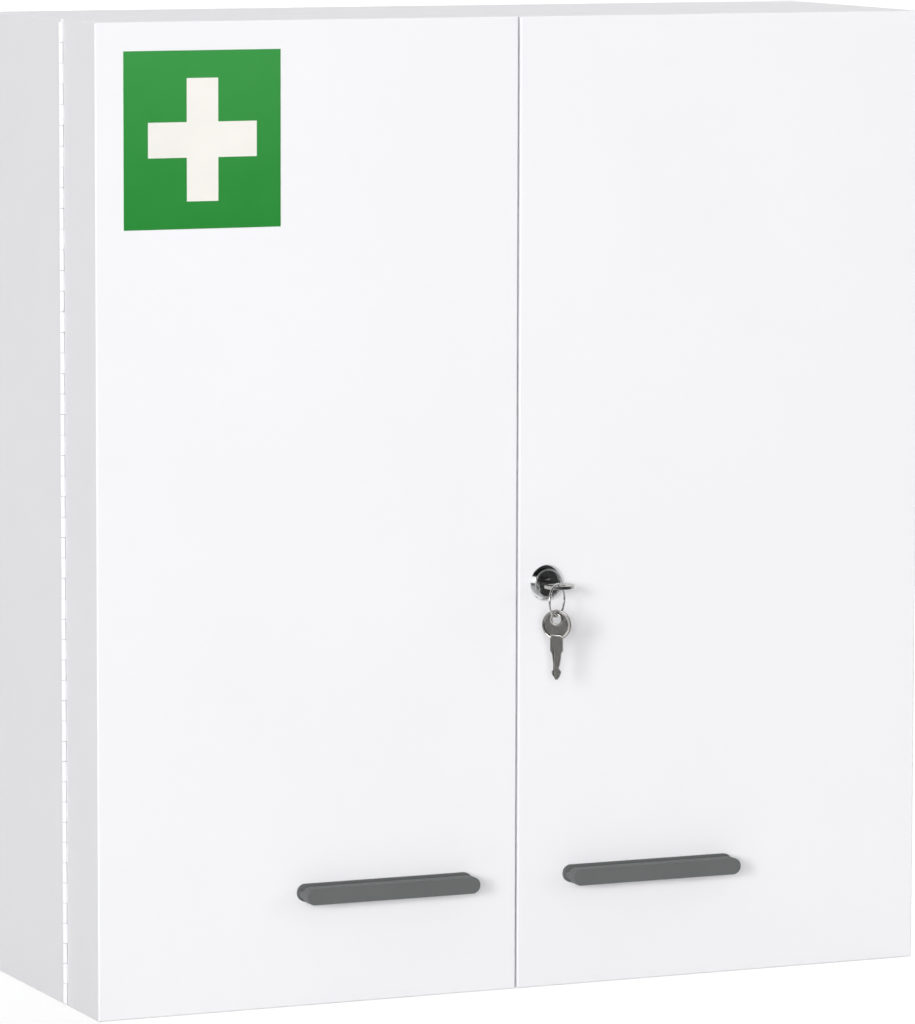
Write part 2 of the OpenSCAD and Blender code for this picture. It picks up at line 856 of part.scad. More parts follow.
// Plug: a stepped barrel with a keyway in front and a square tail for the cam
module lock_plug() {
    half_key = key_t / 2 + keyway_play;
    tail_play = 0.05;
    color(chrome)
        at_lock()
            difference() {
                union() {
                    shaft(plug_face_d / 2, plug_face_y, plug_face_y + plug_face_l);
                    shaft(plug_d / 2, plug_face_y, housing_back_y + cam_gap);
                    block([-tail_w / 2, housing_back_y, -tail_w / 2],
                        [tail_w / 2, cam_back_y - tail_play, tail_w / 2]);
                }
                difference() {
                    block([-blade_w / 2 - keyway_play, plug_face_y - cut, -half_key],
                        [blade_w / 2 + keyway_play, plug_face_y + keyway_l, half_key]);
                    block([-ward_x - ward_w / 2, plug_face_y - 2 * cut, half_key - ward_h],
                        [-ward_x + ward_w / 2, plug_face_y + keyway_l + cut, half_key + cut]);
                }
                shaft(cam_bolt_r, cam_back_y - cam_bolt_l, cam_back_y + cut);
            }
}

// Cam: a bar with a round tip on the plug's square tail, hanging down when unlocked
module lock_cam() {
    hub_r = 8.5;
    hole_play = 0.05;
    color(zinc)
        at_lock()
            translate([0, cam_back_y, 0])
                rotate([90, 0, 0])
                    linear_extrude(cam_t)
                        difference() {
                            union() {
                                circle(hub_r);
                                translate([-cam_w / 2, cam_tip_r - cam_l])
                                    square([cam_w, cam_l - cam_tip_r]);
                                translate([0, cam_tip_r - cam_l])
                                    circle(cam_tip_r);
                            }
                            square(tail_w + 2 * hole_play, center = true);
                        }
}

module cam_washer() {
    washer_r = 6.5;
    hole_play = 0.2;
    color(zinc)
        at_lock()
            difference() {
                shaft(washer_r, cam_back_y, cam_back_y + washer_t);
                shaft(cam_bolt_r + hole_play, cam_back_y - cut, cam_back_y + washer_t + cut);
            }
}

module cam_bolt() {
    across_flats = 8;
    head_h = 3.5;
    color(zinc)
        at_lock() {
            shaft(cam_bolt_r, cam_back_y - cam_bolt_l, cam_back_y + washer_t);
            translate([0, cam_back_y + washer_t, 0])
                rotate([-90, 0, 0])
                    cylinder(h = head_h, r = across_flats / sqrt(3), $fn = 6);
        }
}

// ---- Keys and ring ----

// Depths of the blade's cuts on its two edges, from the shoulder to the tip
left_cuts = [0.5, 0.8, 1.1, 1.5];
right_cuts = [0.2, 0.5, 0.9, 1.5];
first_cut = 2.5;
cut_pitch = 2.2;
cut_flat = 1;
tip_l = 4.8;
nose_step = 0.8;
nose_part = 0.5;
nose_w = 1.6;

function blade_edge(side, cuts) = [for (i = [0 : len(cuts) - 1], end = [1, -1])
    [side * (blade_w / 2 - cuts[i]), -shoulder_end - first_cut - i * cut_pitch + end * cut_flat / 2]];

function reversed(points) = [for (i = [len(points) - 1 : -1 : 0]) points[i]];

shoulder_top = 7.6;
shoulder_chamfer = 1.2;

// Shoulder and blade in one outline: down the left edge, round the pointed tip and back up
module shank_outline() {
    end_y = -shoulder_end - blade_l;
    half = blade_w / 2;
    shoulder = shoulder_w / 2;
    top_y = shoulder_chamfer - shoulder_top;
    step_y = shoulder_chamfer - shoulder_end;
    tip_y = end_y + tip_l;
    nose_y = end_y + tip_l * nose_part;
    polygon(concat(
        [[shoulder_chamfer - shoulder, top_y], [-shoulder, -shoulder_top], [-shoulder, step_y],
            [-half, -shoulder_end]],
        blade_edge(-1, left_cuts),
        [[-half, tip_y], [nose_step - half, nose_y], [-nose_w / 2, end_y],
            [nose_w / 2, end_y], [half - nose_step, nose_y], [half, tip_y]],
        reversed(blade_edge(1, right_cuts)),
        [[half, -shoulder_end], [shoulder, step_y], [shoulder, -shoulder_top],
            [shoulder - shoulder_chamfer, top_y]]));
}

// Key, flat in XY with its bow's middle at the origin and its blade towards -Y
module key() {
    rim_w = 1.3;
    boss_w = 0.9;
    field_depth = 0.3;
    groove_depth = 0.5;
    groove_start = 3;
    difference() {
        linear_extrude(key_t, center = true)
            difference() {
                union() {
                    circle(bow_r);
                    shank_outline();
                }
                translate([0, bow_hole_offset])
                    circle(bow_hole_d / 2);
            }
        for (face = [-1, 1])
            translate([0, 0, face * key_t / 2])
                linear_extrude(2 * field_depth, center = true)
                    difference() {
                        circle(bow_r - rim_w);
                        translate([0, bow_hole_offset])
                            circle(bow_hole_d / 2 + boss_w);
                        shank_outline();
                    }
        for (face = [-1, 1])
            translate([0, 0, face * key_t / 2])
                block([-ward_x - ward_w / 2 - keyway_play, -shoulder_end - blade_l - cut, -groove_depth],
                    [-ward_x + ward_w / 2 + keyway_play, groove_start - shoulder_end, groove_depth]);
    }
}

// Key in the lock: its blade in the keyway and its bow level
module lock_key() {
    color("darkgray")
        translate([lock_x, bow_y, lock_z])
            rotate([180, 0, 0])
                key();
}

// Wire ring through both bows
module key_ring() {
    color(zinc)
        translate(ring_mid)
            rotate([90, 0, 90 - ring_turn])
                rotate_extrude()
                    translate([ring_r, 0])
                        circle(ring_wire_r);
}

// Second key, hanging from the ring
module spare_key() {
    color("darkgray")
        translate([ring_mid.x, ring_mid.y, spare_hole_z - bow_hole_offset])
            rotate([90, 0, -spare_turn])
                key();
}

body_wrap();
back_panel();
left_front_rail();
left_rear_rail();
right_front_rail();
right_rear_rail();
lower_shelf();
middle_shelf();
upper_shelf();
lower_shelf_clips();
middle_shelf_clips();
upper_shelf_clips();
left_hinge_body_leaf();
right_hinge_body_leaf();
left_hinge_pin();
right_hinge_pin();
left_catch_case();
right_catch_case();
left_catch_magnet();
right_catch_magnet();
door_buffers();
left_door_shell();
left_hinge_door_leaf();
left_door_lower_rack();
left_door_middle_rack();
left_door_upper_rack();
left_handle();
left_handle_screws();
bolt_base();
bolt_guide();
bolt_rivets();
slide_bolt();
right_door_shell();
right_hinge_door_leaf();
right_door_lower_rack();
right_door_middle_rack();
right_door_upper_rack();
right_handle();
right_handle_screws();
lock_housing();
lock_nut();
lock_plug();
lock_cam();
cam_washer();
cam_bolt();
lock_key();
key_ring();
spare_key();
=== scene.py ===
"""Looks of the lockable wall cabinet: finishes, the first-aid sign, turned and threaded details, light.

Metres, in the frame of the CAD model: +X to the right, +Y into the wall, +Z up.
"""

import math

import bmesh
import bpy
from mathutils import Matrix, Vector


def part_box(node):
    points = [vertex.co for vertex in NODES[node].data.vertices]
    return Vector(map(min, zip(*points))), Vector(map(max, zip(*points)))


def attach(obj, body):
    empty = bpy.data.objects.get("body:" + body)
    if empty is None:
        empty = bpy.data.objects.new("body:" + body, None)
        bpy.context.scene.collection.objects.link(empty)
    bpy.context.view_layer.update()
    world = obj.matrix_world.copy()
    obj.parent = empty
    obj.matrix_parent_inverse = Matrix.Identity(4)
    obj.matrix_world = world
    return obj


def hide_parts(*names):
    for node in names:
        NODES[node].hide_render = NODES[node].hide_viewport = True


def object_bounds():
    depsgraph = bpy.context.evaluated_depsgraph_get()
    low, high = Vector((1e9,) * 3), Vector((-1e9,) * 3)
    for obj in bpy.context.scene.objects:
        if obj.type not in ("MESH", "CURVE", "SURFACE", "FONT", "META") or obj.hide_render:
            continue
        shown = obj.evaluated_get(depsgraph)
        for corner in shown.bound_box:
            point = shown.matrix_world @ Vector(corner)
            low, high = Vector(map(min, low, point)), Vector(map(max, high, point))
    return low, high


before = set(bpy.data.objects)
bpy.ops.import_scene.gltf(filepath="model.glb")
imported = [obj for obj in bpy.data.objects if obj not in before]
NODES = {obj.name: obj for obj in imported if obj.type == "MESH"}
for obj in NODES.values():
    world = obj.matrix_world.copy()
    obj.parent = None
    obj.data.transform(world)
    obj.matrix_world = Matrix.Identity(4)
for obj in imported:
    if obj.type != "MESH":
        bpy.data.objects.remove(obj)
cad_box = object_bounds()

MM = 0.001
LEFT, RIGHT = -1, 1

door_low, door_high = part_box("left_door_shell")
sign_w = 100.4 * MM
sign_h = 106.4 * MM
sign_left = door_low.x + 17.8 * MM
sign_top = door_high.z - 17.3 * MM
sign_t = 0.3 * MM


# ---- Shader building ----

class Finish:
    """A material with one Principled shader and procedural detail in the object's own coordinates."""

    def __init__(self, name, color, roughness, metallic=0.0, **constants):
        self.material = bpy.data.materials.new(name)
        self.material.use_nodes = True
        self.tree = self.material.node_tree
        self.shader = self.tree.nodes["Principled BSDF"]
        self.set("Base Color", (*color, 1.0))
        self.set("Roughness", roughness)
        self.set("Metallic", metallic)
        for socket, value in constants.items():
            self.set(socket.replace("_", " ").title().replace("Ior", "IOR"), value)
        self.place = self.node("ShaderNodeTexCoord").outputs["Object"]
        self.height = None

    def set(self, socket, value):
        self.shader.inputs[socket].default_value = value

    def node(self, kind, **values):
        made = self.tree.nodes.new(kind)
        for key, value in values.items():
            setattr(made, key, value)
        return made

    def link(self, output, target):
        self.tree.links.new(output, target)

    def stretched(self, scale):
        """The object's coordinates, scaled by a number for each axis."""
        mapping = self.node("ShaderNodeMapping")
        mapping.inputs["Scale"].default_value = scale
        self.link(self.place, mapping.inputs["Vector"])
        return mapping.outputs["Vector"]

    def noise(self, per_metre, detail=2.0, roughness=0.5, stretch=None):
        """Noise with that many cells a metre, from 0 to 1."""
        made = self.node("ShaderNodeTexNoise")
        made.inputs["Scale"].default_value = per_metre
        made.inputs["Detail"].default_value = detail
        made.inputs["Roughness"].default_value = roughness
        self.link(self.stretched(stretch) if stretch else self.place, made.inputs["Vector"])
        return made.outputs["Fac"]

    def cells(self, per_metre):
        """A random grey for each cell of a Voronoi pattern."""
        made = self.node("ShaderNodeTexVoronoi")
        made.inputs["Scale"].default_value = per_metre
        self.link(self.place, made.inputs["Vector"])
        separate = self.node("ShaderNodeSeparateColor")
        self.link(made.outputs["Color"], separate.inputs["Color"])
        return separate.outputs["Red"]

    def spread(self, value, low, high, start=0.3, end=0.7):
        """value from start to end becomes a number from low to high."""
        made = self.node("ShaderNodeMapRange")
        made.inputs["From Min"].default_value = start
        made.inputs["From Max"].default_value = end
        made.inputs["To Min"].default_value = low
        made.inputs["To Max"].default_value = high
        self.link(value, made.inputs["Value"])
        return made.outputs["Result"]

    def up_the_sign(self):
        """0 at the foot of the first-aid sign and 1 at its top, a little uneven."""
        split = self.node("ShaderNodeSeparateXYZ")
        self.link(self.place, split.inputs["Vector"])
        ramp = self.spread(split.outputs["Z"], 0.0, 1.0, sign_top - sign_h, sign_top)
        uneven = self.node("ShaderNodeMath", operation="ADD")
        self.link(ramp, uneven.inputs[0])
        self.link(self.spread(self.noise(30, detail=3), -0.08, 0.08), uneven.inputs[1])
        return uneven.outputs["Value"]

    def vary_color(self, value, first, second, start=0.3, end=0.7):
        """The base colour runs from first to second as value goes from start to end."""
        ramp = self.node("ShaderNodeValToRGB")
        ramp.color_ramp.elements[0].position = start
        ramp.color_ramp.elements[0].color = (*first, 1.0)
        ramp.color_ramp.elements[1].position = end
        ramp.color_ramp.elements[1].color = (*second, 1.0)
        self.link(value, ramp.inputs["Fac"])
        self.link(ramp.outputs["Color"], self.shader.inputs["Base Color"])

    def vary_roughness(self, value, low, high):
        self.link(self.spread(value, low, high), self.shader.inputs["Roughness"])

    def bump(self, value, depth, strength=1.0):
        """Adds relief of that depth in metres over any relief that is there already."""
        made = self.node("ShaderNodeBump")
        made.inputs["Strength"].default_value = strength
        made.inputs["Distance"].default_value = depth
        self.link(value, made.inputs["Height"])
        if self.height:
            self.link(self.height, made.inputs["Normal"])
        self.height = made.outputs["Normal"]
        self.link(self.height, self.shader.inputs["Normal"])


# ---- Finishes ----

def powder_coat(name, color):
    """White powder coat: fine orange peel, faint flecks, and a satin sheen that is never quite even."""
    finish = Finish(name, color, 0.4)
    darker = tuple(0.985 * part for part in color)
    finish.vary_color(finish.noise(9, detail=3), darker, color)
    finish.vary_roughness(finish.noise(60, detail=4), 0.36, 0.46)
    finish.bump(finish.noise(520, detail=1), 0.03 * MM, 0.5)
    finish.bump(finish.noise(2600, detail=2), 0.006 * MM, 0.5)
    return finish.material


def zinc_plating():
    """Bright zinc plating: crystals of slightly different grey, and fine drawing lines."""
    finish = Finish("zinc_plate", (0.6, 0.61, 0.62), 0.35, 1.0)
    finish.vary_color(finish.cells(900), (0.52, 0.53, 0.55), (0.66, 0.67, 0.68), 0.0, 1.0)
    finish.vary_roughness(finish.noise(300, detail=5), 0.26, 0.44)
    finish.bump(finish.noise(1500, detail=3), 0.01 * MM, 0.4)
    return finish.material


def brushed_steel(name, color, along, roughness):
    """Steel with drawing lines along one axis."""
    finish = Finish(name, color, roughness, 1.0, anisotropic=0.3)
    drawn_out = 0.04
    stretch = tuple(drawn_out if axis == along else 1.0 for axis in "XYZ")
    lines = finish.noise(1800, detail=3, stretch=stretch)
    finish.vary_color(lines, tuple(0.86 * part for part in color), color)
    finish.vary_roughness(lines, roughness - 0.06, roughness + 0.08)
    finish.bump(lines, 0.008 * MM, 0.4)
    return finish.material


def chrome_plating():
    """Chrome over a turned zinc casting: a mirror with a little waviness and rubbing."""
    finish = Finish("chrome", (0.72, 0.73, 0.74), 0.09, 1.0)
    finish.vary_color(finish.noise(140, detail=4), (0.68, 0.69, 0.70), (0.76, 0.77, 0.78))
    finish.vary_roughness(finish.noise(700, detail=5), 0.05, 0.13)
    finish.bump(finish.noise(260, detail=2), 0.012 * MM, 0.25)
    return finish.material


def turned_steel():
    """The lathe-turned face of the lock's lip: satin, with fine rings."""
    finish = Finish("turned_steel", (0.8, 0.8, 0.81), 0.42, 1.0)
    finish.vary_color(finish.noise(500, detail=4), (0.74, 0.74, 0.75), (0.84, 0.84, 0.85))
    finish.vary_roughness(finish.noise(900, detail=3), 0.36, 0.48)
    finish.bump(finish.noise(2200, detail=2), 0.004 * MM, 0.4)
    return finish.material


def key_nickel():
    """Tumbled nickel plating with fine scratches."""
    finish = Finish("key_nickel", (0.5, 0.49, 0.465), 0.18, 1.0)
    tarnish = finish.noise(420, detail=6, roughness=0.7)
    finish.vary_color(tarnish, (0.44, 0.43, 0.41), (0.55, 0.54, 0.515))
    finish.vary_roughness(finish.noise(900, detail=6, roughness=0.7), 0.13, 0.22)
    finish.bump(finish.noise(2400, detail=4), 0.003 * MM, 0.5)
    return finish.material


def moulded_plastic(name, color, roughness, grain=0.02, **constants):
    """Moulded plastic with a fine spark-eroded grain."""
    finish = Finish(name, color, roughness, **constants)
    finish.vary_color(finish.noise(25, detail=4), tuple(0.93 * part for part in color), color)
    finish.vary_roughness(finish.noise(400, detail=3), roughness - 0.05, roughness + 0.07)
    finish.bump(finish.noise(3200, detail=2), grain * MM, 0.5)
    return finish.material


def soft_rubber():
    finish = Finish("rubber", (0.35, 0.35, 0.35), 0.6)
    finish.vary_color(finish.noise(200, detail=4), (0.3, 0.3, 0.3), (0.4, 0.4, 0.4))
    finish.bump(finish.noise(2200, detail=2), 0.02 * MM, 0.5)
    return finish.material


def sign_film(name, color, gloss, low_color=None):
    """Printed film with a faint roller texture. Its colour may run from low_color, below, to color,
    above.
    """
    finish = Finish(name, color, gloss)
    if low_color:
        finish.vary_color(finish.up_the_sign(), low_color, color, 0.0, 1.0)
    else:
        finish.vary_color(finish.noise(30, detail=3), tuple(0.96 * part for part in color), color)
    finish.vary_roughness(finish.noise(90, detail=4), gloss - 0.05, gloss + 0.07)
    finish.bump(finish.noise(900, detail=2), 0.008 * MM, 0.4)
    return finish.material


WHITE = (0.875, 0.872, 0.892)
GRIP_GREY = (0.132, 0.141, 0.138)
# The sign's green: lighter at its top, darker towards its foot
GREEN_TOP = (0.039, 0.295, 0.058)
GREEN_FOOT = (0.017, 0.24, 0.033)
CROSS_WHITE = (0.87, 0.85, 0.80)

FINISHES = {
    "paint": powder_coat("paint", WHITE),
    "hinge_paint": powder_coat("hinge_paint", WHITE),
    "zinc_plate": zinc_plating(),
    "pin_steel": brushed_steel("pin_steel", (0.58, 0.58, 0.59), "Z", 0.26),
    "catch_plastic": moulded_plastic("catch_plastic", (0.78, 0.78, 0.76), 0.42),
    "rubber": soft_rubber(),
    "handle_plastic": moulded_plastic("handle_plastic", GRIP_GREY, 0.55, specular_ior_level=0.3),
    "chrome": chrome_plating(),
    "key_nickel": key_nickel(),
    "ring_wire": brushed_steel("ring_wire", (0.66, 0.66, 0.66), "Z", 0.16),
}
SIGN_GREEN = sign_film("sign_green", GREEN_TOP, 0.4, low_color=GREEN_FOOT)
SIGN_WHITE = sign_film("sign_white", CROSS_WHITE, 0.45)

for node in NODES.values():
    for place in node.material_slots:
        place.material = FINISHES[place.material.name]


# ---- Rounded edges of CAD pieces ----

SHARP_ANGLE = 28
FLAT_ANGLE = 0.5
MERGE_WITHIN = 0.002 * MM
KEY_EDGE_R = 0.14 * MM
PLUG_EDGE_R = 0.12 * MM
STAMPED_EDGE_R = 0.2 * MM


def clean_faces_group():
    """Geometry nodes that drop the stored normals and shade smooth across all but sharp edges."""
    group = bpy.data.node_groups.new("clean_faces", "GeometryNodeTree")
    group.interface.new_socket("Geometry", in_out="INPUT", socket_type="NodeSocketGeometry")
    group.interface.new_socket("Geometry", in_out="OUTPUT", socket_type="NodeSocketGeometry")
    start = group.nodes.new("NodeGroupInput")
    end = group.nodes.new("NodeGroupOutput")
    merge = group.nodes.new("GeometryNodeMergeByDistance")
    merge.inputs["Distance"].default_value = MERGE_WITHIN
    drop = group.nodes.new("GeometryNodeRemoveAttribute")
    drop.inputs["Name"].default_value = "custom_normal"
    angle = group.nodes.new("GeometryNodeInputMeshEdgeAngle")
    soft = group.nodes.new("FunctionNodeCompare")
    soft.data_type = "FLOAT"
    soft.operation = "LESS_THAN"
    soft.inputs["B"].default_value = math.radians(SHARP_ANGLE)
    faces = group.nodes.new("GeometryNodeSetShadeSmooth")
    faces.domain = "FACE"
    edges = group.nodes.new("GeometryNodeSetShadeSmooth")
    edges.domain = "EDGE"
    link = group.links.new
    link(start.outputs[0], merge.inputs["Geometry"])
    link(merge.outputs["Geometry"], drop.inputs["Geometry"])
    link(drop.outputs["Geometry"], faces.inputs["Geometry"])
    link(faces.outputs["Geometry"], edges.inputs["Geometry"])
    link(angle.outputs["Unsigned Angle"], soft.inputs["A"])
    link(soft.outputs["Result"], edges.inputs["Shade Smooth"])
    link(edges.outputs["Geometry"], end.inputs[0])
    return group


CLEAN_FACES = clean_faces_group()


def round_edges(name, width, segments=2):
    """Rounds the sharp edges of a CAD piece, whose faces are first joined up and flattened."""
    node = NODES[name]
    clean = node.modifiers.new("clean", "NODES")
    clean.node_group = CLEAN_FACES
    flat = node.modifiers.new("flatten", "DECIMATE")
    flat.decimate_type = "DISSOLVE"
    flat.angle_limit = math.radians(FLAT_ANGLE)
    bevel = node.modifiers.new("round", "BEVEL")
    bevel.width = width
    bevel.segments = segments
    bevel.limit_method = "ANGLE"
    bevel.angle_limit = math.radians(SHARP_ANGLE)
    bevel.harden_normals = True


for name in ("lock_key", "spare_key"):
    round_edges(name, KEY_EDGE_R)
round_edges("lock_plug", PLUG_EDGE_R)
for name in ("lock_nut", "lock_cam", "cam_bolt", "slide_bolt", "bolt_base", "bolt_guide"):
    round_edges(name, STAMPED_EDGE_R)


# ---- Mesh building ----

def piece(name, mesh_edit, material, body):
    """A new mesh piece, built by a function that fills a bmesh, riding on a body."""
    mesh = bpy.data.meshes.new(name)
    made = bpy.data.objects.new(name, mesh)
    bpy.context.scene.collection.objects.link(made)
    edit = bmesh.new()
    mesh_edit(edit)
    bmesh.ops.recalc_face_normals(edit, faces=edit.faces)
    edit.to_mesh(mesh)
    edit.free()
    mesh.materials.append(material)
    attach(made, body)
    return made


def soften(made, width, segments=2, angle=30):
    """Rounds a piece's sharp edges."""
    bevel = made.modifiers.new("soften", "BEVEL")
    bevel.width = width
    bevel.segments = segments
    bevel.limit_method = "ANGLE"
    bevel.angle_limit = math.radians(angle)
    bevel.harden_normals = True
    for face in made.data.polygons:
        face.use_smooth = True
    return made


def smooth(made, angle=50):
    """Shades a piece smooth across all but its sharp edges."""
    for face in made.data.polygons:
        face.use_smooth = True
    made.data.set_sharp_from_angle(angle=math.radians(angle))
    return made


def prism(edit, outline, front_y, back_y):
    """A flat outline of (x, z) points, from one y to another."""
    front = [edit.verts.new((x, front_y, z)) for x, z in outline]
    back = [edit.verts.new((x, back_y, z)) for x, z in outline]
    edit.faces.new(front)
    edit.faces.new(reversed(back))
    count = len(outline)
    for i in range(count):
        j = (i + 1) % count
        edit.faces.new((front[i], back[i], back[j], front[j]))


def lathe(edit, outline, centre, segments=96):
    """Turns a closed outline of (radius, y) points about the line along Y through an (x, z) centre."""
    poles = {i: edit.verts.new((centre[0], y, centre[1])) for i, (r, y) in enumerate(outline) if r == 0}
    rings = []
    for k in range(segments):
        angle = 2 * math.pi * k / segments
        along_x, along_z = math.cos(angle), math.sin(angle)
        rings.append([
            poles.get(i) or edit.verts.new((centre[0] + r * along_x, y, centre[1] + r * along_z))
            for i, (r, y) in enumerate(outline)])
    count = len(outline)
    for k in range(segments):
        here, after = rings[k], rings[(k + 1) % segments]
        for i in range(count):
            j = (i + 1) % count
            corners = list(dict.fromkeys((here[i], here[j], after[j], after[i])))
            if len(corners) > 2:
                edit.faces.new(corners)


def cuboid(edit, low, high):
    outline = [(low[0], low[2]), (high[0], low[2]), (high[0], high[2]), (low[0], high[2])]
    prism(edit, outline, low[1], high[1])


def shaped(mesh_edit, operation, tool_edit):
    """The mesh of one bmesh function after a Boolean with another, as a function that fills a bmesh."""
    made = []
    for name, fill in (("work", mesh_edit), ("tool", tool_edit)):
        mesh = bpy.data.meshes.new(name)
        holder = bpy.data.objects.new(name, mesh)
        bpy.context.scene.collection.objects.link(holder)
        edit = bmesh.new()
        fill(edit)
        bmesh.ops.recalc_face_normals(edit, faces=edit.faces)
        edit.to_mesh(mesh)
        edit.free()
        made.append(holder)
    work, tool = made
    boolean = work.modifiers.new("shape", "BOOLEAN")
    boolean.operation = operation
    boolean.object = tool
    boolean.solver = "EXACT"
    result = bpy.data.meshes.new_from_object(work.evaluated_get(bpy.context.evaluated_depsgraph_get()))
    for holder in made:
        mesh = holder.data
        bpy.data.objects.remove(holder)
        bpy.data.meshes.remove(mesh)

    def fill_result(edit):
        edit.from_mesh(result)

    return fill_result


# ---- Turned, threaded and pressed details ----

housing_low, housing_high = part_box("lock_housing")
plug_low, plug_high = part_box("lock_plug")
door_front_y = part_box("right_door_shell")[0].y
lock_at = ((housing_low.x + housing_high.x) / 2, (housing_low.z + housing_high.z) / 2)
bezel_r = (housing_high.x - housing_low.x) / 2
barrel_r = 9.3 * MM
barrel_flat_w = 16 * MM
bore_r = 6.05 * MM
face_r = 7.95 * MM
lip_w = 1.0 * MM
lip_h = 0.5 * MM
groove_w = 0.2 * MM
cone_top_drop = 0.38 * MM
cone_foot_in = 0.12 * MM
foot_t = 0.8 * MM
foot_edge = 0.1 * MM
thread_pitch = 1.0 * MM
thread_depth = 0.35 * MM
barrel_end_chamfer = 0.4 * MM
bezel_soft_r = 0.06 * MM
lip_soft_r = 0.03 * MM

# Where a turn of thread leaves its crest, reaches its root and comes back, as parts of the pitch
CREST_END, ROOT, CREST_START = 0.3, 0.6, 0.9


def bezel_ring(edit):
    """The lock's cone in front of the door, with a seat for the lip, and a rounded foot."""
    front = housing_low.y
    groove_y = front + lip_h + groove_w
    foot_y = door_front_y - foot_t
    outline = [
        (face_r, door_front_y), (face_r, groove_y), (face_r + lip_w + groove_w, groove_y),
        (face_r + lip_w + groove_w, front + cone_top_drop),
        (bezel_r - cone_foot_in, foot_y - foot_edge), (bezel_r, foot_y + foot_edge),
        (bezel_r, door_front_y - foot_edge), (bezel_r - foot_edge, door_front_y)]
    lathe(edit, outline, lock_at)


def bezel_lip(edit):
    """The turned half-round ring inside the cone, a fine gap away from it."""
    front = housing_low.y
    steps = 10
    outline = [(face_r, front + lip_h + groove_w), (face_r, front + lip_h)]
    for k in range(1, steps):
        angle = math.pi * (1 - k / steps)
        outline.append((face_r + lip_w / 2 * (1 + math.cos(angle)),
                        front + lip_h * (1 - math.sin(angle))))
    outline += [(face_r + lip_w, front + lip_h), (face_r + lip_w, front + lip_h + groove_w)]
    lathe(edit, outline, lock_at)


def threaded_barrel(edit):
    """The barrel behind the door, with a turn of thread for each pitch up to its end."""
    outline = [(bore_r, door_front_y), (barrel_r, door_front_y)]
    y = door_front_y
    while y + thread_pitch < housing_high.y:
        outline += [(barrel_r, y + CREST_END * thread_pitch),
                    (barrel_r - thread_depth, y + ROOT * thread_pitch),
                    (barrel_r, y + CREST_START * thread_pitch)]
        y += thread_pitch
    outline += [(barrel_r, y + CREST_END * thread_pitch),
                (barrel_r - barrel_end_chamfer, housing_high.y), (bore_r, housing_high.y)]
    lathe(edit, outline, lock_at, segments=64)


def barrel_flats(edit):
    """The block whose sides leave two flats on the barrel."""
    half = barrel_flat_w / 2
    cuboid(edit, (lock_at[0] - half, door_front_y - MM, lock_at[1] - 2 * barrel_r),
           (lock_at[0] + half, housing_high.y + MM, lock_at[1] + 2 * barrel_r))


bezel = soften(piece("lock_bezel", bezel_ring, FINISHES["chrome"], "right_door"),
               bezel_soft_r, angle=40)
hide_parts("lock_housing")
lip = soften(piece("lock_lip", bezel_lip, turned_steel(), "right_door"), lip_soft_r, angle=40)
barrel = piece("lock_barrel", shaped(threaded_barrel, "INTERSECT", barrel_flats),
               FINISHES["zinc_plate"], "right_door")
smooth(barrel, angle=30)

screw_head_r = 3.6 * MM
screw_head_h = 2.2 * MM
screw_shaft_r = 1.7 * MM
screw_shaft_l = 9 * MM
recess_w = 1.0 * MM
recess_l = 4.2 * MM
recess_d = 1.5 * MM
recess_open = 1.0 * MM

# The rim and dome of a pan head: parts of its radius, and heights above its seat as parts of its height
PAN_PROFILE = [(1.0, 0.0), (1.0, 0.41), (0.92, 0.68), (0.72, 0.89), (0.4, 0.98), (0.0, 1.0)]


def cross_outline(middle, arm, half_w):
    """A cross's twelve corners, from its middle and its arms' reach and half widths in x and z."""
    quarter = [(half_w[0], arm[1]), (half_w[0], half_w[1]), (arm[0], half_w[1])]
    back = quarter[::-1]
    corners = []
    for sx, sz, points in ((1, 1, quarter), (1, -1, back), (-1, -1, quarter), (-1, 1, back)):
        corners += [(middle[0] + sx * x, middle[1] + sz * z) for x, z in points]
    return corners


def pan_head(at, under_y):
    """A domed screw head on its shaft, with a cross recess, facing +Y."""
    top = under_y + screw_head_h

    def solid(edit):
        shaft = [(0, under_y - screw_shaft_l), (screw_shaft_r, under_y - screw_shaft_l),
                 (screw_shaft_r, under_y)]
        head = [(r * screw_head_r, under_y + up * screw_head_h) for r, up in PAN_PROFILE]
        lathe(edit, shaft + head, at, segments=30)

    def cross(edit):
        arm, half_w = recess_l / 2, recess_w / 2
        outline = cross_outline(at, (arm, arm), (half_w, half_w))
        prism(edit, outline, top - recess_d, top + recess_open)

    return shaped(solid, "DIFFERENCE", cross)


for side in ("left", "right"):
    screws_low, screws_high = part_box(f"{side}_handle_screws")
    middle_z = (screws_low.z + screws_high.z) / 2
    under_y = screws_high.y - screw_head_h
    for end, x in (("a", screws_low.x + screw_head_r), ("b", screws_high.x - screw_head_r)):
        screw = piece(f"{side}_handle_screw_{end}", pan_head((x, middle_z), under_y),
                      FINISHES["zinc_plate"], f"{side}_door")
        smooth(screw, angle=35)
        if end == "a":
            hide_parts(f"{side}_handle_screws")


# ---- Coined rims and milled grooves of the keys ----

key_t = 1.7 * MM
bow_r = 9.3 * MM
key_hole_r = 2.7 * MM
key_hole_up = 3.3 * MM
shoulder_w = 8.0 * MM
shoulder_top = 7.6 * MM
shoulder_chamfer = 1.2 * MM
shoulder_end = 17.4 * MM
blade_l = 16.4 * MM
groove_x = -1.4 * MM
groove_half_w = 0.5 * MM
groove_depth = 0.5 * MM
groove_foot_t = 0.02 * MM
groove_above_shoulder = 3.0 * MM
groove_short_of_tip = 2.4 * MM
spare_key_turn = math.radians(41)

